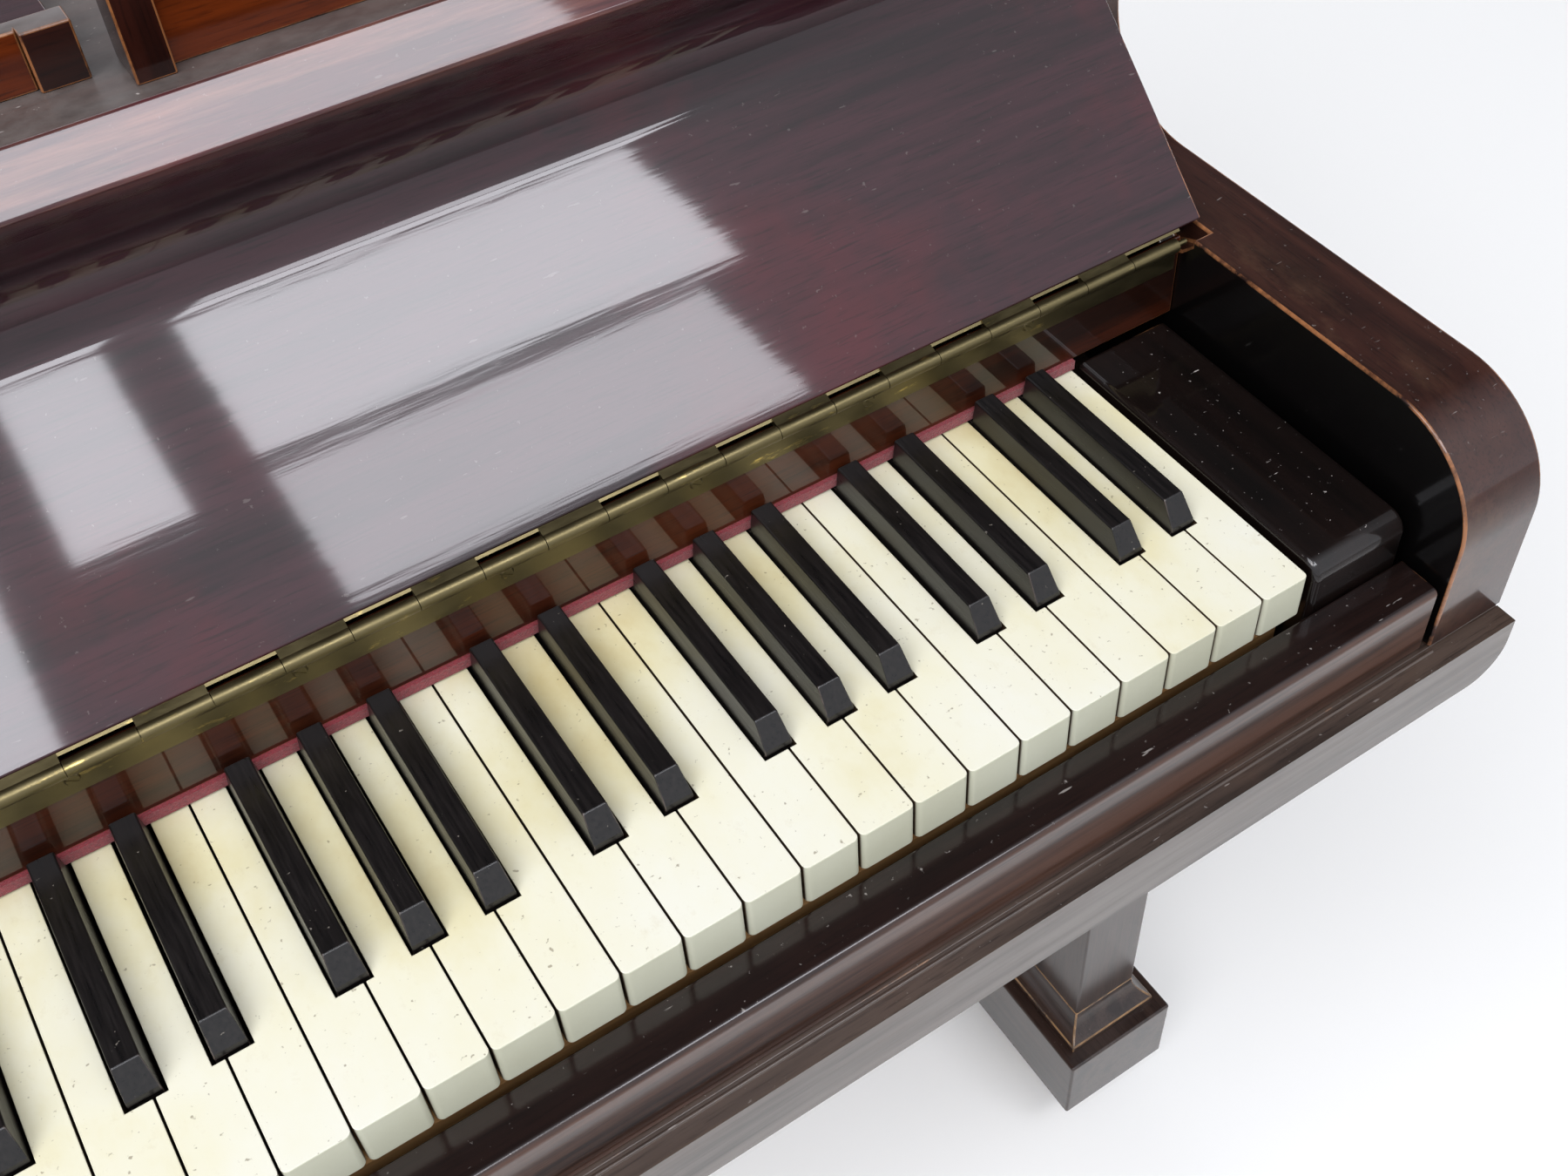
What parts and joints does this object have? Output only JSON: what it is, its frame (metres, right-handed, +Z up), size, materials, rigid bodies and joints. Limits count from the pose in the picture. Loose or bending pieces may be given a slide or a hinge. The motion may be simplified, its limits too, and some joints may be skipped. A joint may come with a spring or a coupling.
{
  "type": "baby grand piano",
  "caption": "Small grand piano with folding fall, arms sweeping up into the case, sprung keys by note name, hinged lid with folding flap, square legs on castors and a pedal lyre.",
  "frame": {"origin": "on the floor under the middle of the instrument's overall box", "axes": "+Z up, -Y towards the player, +X towards the treble end"},
  "size_m": [1.3895, 1.4, 0.98],
  "materials": {
    "polished_mahogany": "gloss french polish",
    "figured_mahogany": "satin",
    "ivory": "worn satin",
    "ebony": "satin",
    "red_felt": "felt",
    "hammer_felt": "felt",
    "brass": "tarnished",
    "beech": "plain",
    "spruce": "varnished",
    "gilt_iron": "bronze lacquer",
    "steel_wire": "bright"
  },
  "bodies": {
    "case": {"spine_side": "polished_mahogany", "treble_side": "polished_mahogany", "bentside": "polished_mahogany", "tail_end": "polished_mahogany", "case_frame": "beech", "case_rails": "beech", "keybed": "polished_mahogany", "keybed_nosing": "polished_mahogany", "key_slip": "polished_mahogany", "key_blocks": "polished_mahogany", "nameboard": "polished_mahogany", "felt_strips": "red_felt", "leg_posts": "polished_mahogany", "leg_mouldings": "polished_mahogany", "foot_blocks": "polished_mahogany", "fall_hinge_leaf": "brass", "key_frame": "beech", "action_rack": "beech", "hammers": "hammer_felt", "dampers": "ebony", "pin_block": "beech", "iron_plate": "gilt_iron", "soundboard": "spruce", "strings": "steel_wire", "tuning_pins": "steel_wire", "music_shelf": "polished_mahogany", "desk_cheeks": "figured_mahogany", "lid_hinges_case": "brass", "pedal_box": "polished_mahogany", "lyre": "polished_mahogany"},
    "fall": {"fallboard": "polished_mahogany", "fall_hinge_flap": "brass"},
    "music_desk": {"music_desk": "figured_mahogany"},
    "lid": {"lid": "polished_mahogany", "lid_hinges_lid": "brass"},
    "lid_flap": {"lid_flap": "polished_mahogany"},
    "lid_prop": {"lid_prop": "polished_mahogany"},
    "keys_A": {"keys_A": "ivory"},
    "keys_A_sharp": {"keys_A_sharp": "ebony"},
    "keys_B": {"keys_B": "ivory"},
    "keys_C": {"keys_C": "ivory"},
    "keys_C_sharp": {"keys_C_sharp": "ebony"},
    "keys_D": {"keys_D": "ivory"},
    "keys_D_sharp": {"keys_D_sharp": "ebony"},
    "keys_E": {"keys_E": "ivory"},
    "keys_F": {"keys_F": "ivory"},
    "keys_F_sharp": {"keys_F_sharp": "ebony"},
    "keys_G": {"keys_G": "ivory"},
    "keys_G_sharp": {"keys_G_sharp": "ebony"},
    "soft_pedal": {"soft_pedal": "brass"},
    "soft_rod": {"soft_rod": "brass"},
    "sustain_pedal": {"sustain_pedal": "brass"},
    "sustain_rod": {"sustain_rod": "brass"},
    "bass_castor": {"bass_castor_fork": "brass"},
    "bass_wheel": {"bass_castor_wheel": "brass"},
    "treble_castor": {"treble_castor_fork": "brass"},
    "treble_wheel": {"treble_castor_wheel": "brass"},
    "tail_castor": {"tail_castor_fork": "brass"},
    "tail_wheel": {"tail_castor_wheel": "brass"}
  },
  "joints": [
    {"name": "fall_hinge", "type": "hinge", "parent": "case", "child": "fall", "pos_m": [0, -0.5217, 0.755], "axis": [1, 0, 0], "range_deg": [0, 136.5]},
    {"name": "keys_A_press", "type": "hinge", "parent": "case", "child": "keys_A", "pos_m": [0, -0.4287, 0.683], "axis": [1, 0, 0], "range_deg": [0, 2.4], "stiffness_Nm_per_rad": 20, "springref_deg": -3.44},
    {"name": "keys_A_sharp_press", "type": "hinge", "parent": "case", "child": "keys_A_sharp", "pos_m": [0, -0.4287, 0.683], "axis": [1, 0, 0], "range_deg": [0, 2.4], "stiffness_Nm_per_rad": 20, "springref_deg": -3.44},
    {"name": "keys_B_press", "type": "hinge", "parent": "case", "child": "keys_B", "pos_m": [0, -0.4287, 0.683], "axis": [1, 0, 0], "range_deg": [0, 2.4], "stiffness_Nm_per_rad": 20, "springref_deg": -3.44},
    {"name": "keys_C_press", "type": "hinge", "parent": "case", "child": "keys_C", "pos_m": [0, -0.4287, 0.683], "axis": [1, 0, 0], "range_deg": [0, 2.4], "stiffness_Nm_per_rad": 20, "springref_deg": -3.44},
    {"name": "keys_C_sharp_press", "type": "hinge", "parent": "case", "child": "keys_C_sharp", "pos_m": [0, -0.4287, 0.683], "axis": [1, 0, 0], "range_deg": [0, 2.4], "stiffness_Nm_per_rad": 20, "springref_deg": -3.44},
    {"name": "keys_D_press", "type": "hinge", "parent": "case", "child": "keys_D", "pos_m": [0, -0.4287, 0.683], "axis": [1, 0, 0], "range_deg": [0, 2.4], "stiffness_Nm_per_rad": 20, "springref_deg": -3.44},
    {"name": "keys_D_sharp_press", "type": "hinge", "parent": "case", "child": "keys_D_sharp", "pos_m": [0, -0.4287, 0.683], "axis": [1, 0, 0], "range_deg": [0, 2.4], "stiffness_Nm_per_rad": 20, "springref_deg": -3.44},
    {"name": "keys_E_press", "type": "hinge", "parent": "case", "child": "keys_E", "pos_m": [0, -0.4287, 0.683], "axis": [1, 0, 0], "range_deg": [0, 2.4], "stiffness_Nm_per_rad": 20, "springref_deg": -3.44},
    {"name": "keys_F_press", "type": "hinge", "parent": "case", "child": "keys_F", "pos_m": [0, -0.4287, 0.683], "axis": [1, 0, 0], "range_deg": [0, 2.4], "stiffness_Nm_per_rad": 20, "springref_deg": -3.44},
    {"name": "keys_F_sharp_press", "type": "hinge", "parent": "case", "child": "keys_F_sharp", "pos_m": [0, -0.4287, 0.683], "axis": [1, 0, 0], "range_deg": [0, 2.4], "stiffness_Nm_per_rad": 20, "springref_deg": -3.44},
    {"name": "keys_G_press", "type": "hinge", "parent": "case", "child": "keys_G", "pos_m": [0, -0.4287, 0.683], "axis": [1, 0, 0], "range_deg": [0, 2.4], "stiffness_Nm_per_rad": 20, "springref_deg": -3.44},
    {"name": "keys_G_sharp_press", "type": "hinge", "parent": "case", "child": "keys_G_sharp", "pos_m": [0, -0.4287, 0.683], "axis": [1, 0, 0], "range_deg": [0, 2.4], "stiffness_Nm_per_rad": 20, "springref_deg": -3.44},
    {"name": "lid_hinge", "type": "hinge", "parent": "case", "child": "lid", "pos_m": [-0.6909, 0.2, 0.94], "axis": [0, -1, 0], "range_deg": [0, 20]},
    {"name": "flap_fold", "type": "hinge", "parent": "lid", "child": "lid_flap", "pos_m": [0, -0.093, 0.96015], "axis": [1, 0, 0], "range_deg": [0, 180]},
    {"name": "prop_swing", "type": "hinge", "parent": "case", "child": "lid_prop", "pos_m": [0.59, -0.12, 0.883], "axis": [0.6468, 0.7627, 0], "range_deg": [0, 44]},
    {"name": "desk_tilt", "type": "hinge", "parent": "case", "child": "music_desk", "pos_m": [0, -0.3577, 0.906], "axis": [1, 0, 0], "range_deg": [0, 60]},
    {"name": "soft_pedal_press", "type": "hinge", "parent": "case", "child": "soft_pedal", "pos_m": [-0.055, -0.4, 0.122], "axis": [1, 0, 0], "range_deg": [0, 8], "stiffness_Nm_per_rad": 12, "springref_deg": -8.59},
    {"name": "soft_rod_lift", "type": "slide", "parent": "case", "child": "soft_rod", "axis": [0, 0, 1], "range_m": [0, 0.0045]},
    {"name": "sustain_pedal_press", "type": "hinge", "parent": "case", "child": "sustain_pedal", "pos_m": [0.055, -0.4, 0.122], "axis": [1, 0, 0], "range_deg": [0, 8], "stiffness_Nm_per_rad": 12, "springref_deg": -8.59},
    {"name": "sustain_rod_lift", "type": "slide", "parent": "case", "child": "sustain_rod", "axis": [0, 0, 1], "range_m": [0, 0.0045]},
    {"name": "bass_castor_swivel", "type": "hinge", "parent": "case", "child": "bass_castor", "pos_m": [-0.642, -0.5087, 0.03], "axis": [0, 0, 1], "continuous": true},
    {"name": "bass_wheel_roll", "type": "hinge", "parent": "bass_castor", "child": "bass_wheel", "pos_m": [-0.642, -0.4977, 0.015], "axis": [1, 0, 0], "continuous": true},
    {"name": "treble_castor_swivel", "type": "hinge", "parent": "case", "child": "treble_castor", "pos_m": [0.642, -0.5087, 0.03], "axis": [0, 0, 1], "continuous": true},
    {"name": "treble_wheel_roll", "type": "hinge", "parent": "treble_castor", "child": "treble_wheel", "pos_m": [0.642, -0.4977, 0.015], "axis": [1, 0, 0], "continuous": true},
    {"name": "tail_castor_swivel", "type": "hinge", "parent": "case", "child": "tail_castor", "pos_m": [-0.21, 0.5, 0.03], "axis": [0, 0, 1], "continuous": true},
    {"name": "tail_wheel_roll", "type": "hinge", "parent": "tail_castor", "child": "tail_wheel", "pos_m": [-0.21, 0.511, 0.015], "axis": [1, 0, 0], "continuous": true}
  ],
  "couplings": [
    {"joint": "prop_swing", "follows": "lid_hinge", "ratio": 2.2},
    {"joint": "soft_rod_lift", "follows": "soft_pedal_press", "m_per_rad": 0.03},
    {"joint": "sustain_rod_lift", "follows": "sustain_pedal_press", "m_per_rad": 0.03}
  ]
}
